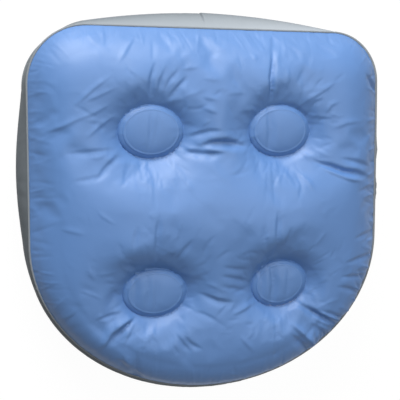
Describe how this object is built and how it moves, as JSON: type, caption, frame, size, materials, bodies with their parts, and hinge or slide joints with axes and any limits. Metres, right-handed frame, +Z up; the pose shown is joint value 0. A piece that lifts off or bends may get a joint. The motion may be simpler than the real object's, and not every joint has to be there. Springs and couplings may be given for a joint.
{
  "type": "hot tub booster cushion",
  "caption": "D-shaped fillable vinyl cushion that raises a bather in a hot tub, with a crowned top drawn down at oval tufts, a bulging side band and a push-in fill valve.",
  "frame": {"origin": "on the surface that the cushion rests on, under the middle of its box", "axes": "+Z up, +Y towards the straight back edge, +X to the sitter's left, where the fill valve is"},
  "size_m": [0.3992, 0.404, 0.106],
  "materials": {
    "top_vinyl": "light blue satin vinyl sheet",
    "band_vinyl": "grey satin vinyl sheet",
    "seam_vinyl": "pale grey welded vinyl",
    "tie_vinyl": "milky vinyl sheet",
    "valve_vinyl": "moulded pale grey vinyl"
  },
  "bodies": {
    "cushion": {"top_panel": "top_vinyl", "bottom_panel": "band_vinyl", "side_band": "band_vinyl", "top_seam": "seam_vinyl", "bottom_seam": "seam_vinyl", "tuft_rim_top_back_right": "top_vinyl", "tuft_rim_top_back_left": "top_vinyl", "tuft_rim_top_front_left": "top_vinyl", "tuft_rim_top_front_right": "top_vinyl", "tuft_rim_bottom_back_right": "band_vinyl", "tuft_rim_bottom_back_left": "band_vinyl", "tuft_rim_bottom_front_left": "band_vinyl", "tuft_rim_bottom_front_right": "band_vinyl", "tuft_column_back_right": "tie_vinyl", "tuft_column_back_left": "tie_vinyl", "tuft_column_front_left": "tie_vinyl", "tuft_column_front_right": "tie_vinyl", "valve_flange": "valve_vinyl"},
    "stem": {"valve_stem": "valve_vinyl"},
    "plug": {"valve_plug": "valve_vinyl"},
    "flap": {"valve_flap": "valve_vinyl"}
  },
  "joints": [
    {"name": "stem_slide", "type": "slide", "parent": "cushion", "child": "stem", "axis": [1, 0, 0], "range_m": [0, 0.011]},
    {"name": "plug_hinge", "type": "hinge", "parent": "stem", "child": "plug", "pos_m": [0.1973, 0.0445, 0.038], "axis": [0, 0, 1], "range_deg": [0, 130]},
    {"name": "flap_hinge", "type": "hinge", "parent": "stem", "child": "flap", "pos_m": [0.1715, 0.0345, 0.044], "axis": [0, 1, 0], "range_deg": [0, 60], "stiffness_Nm_per_rad": 0.00005}
  ]
}
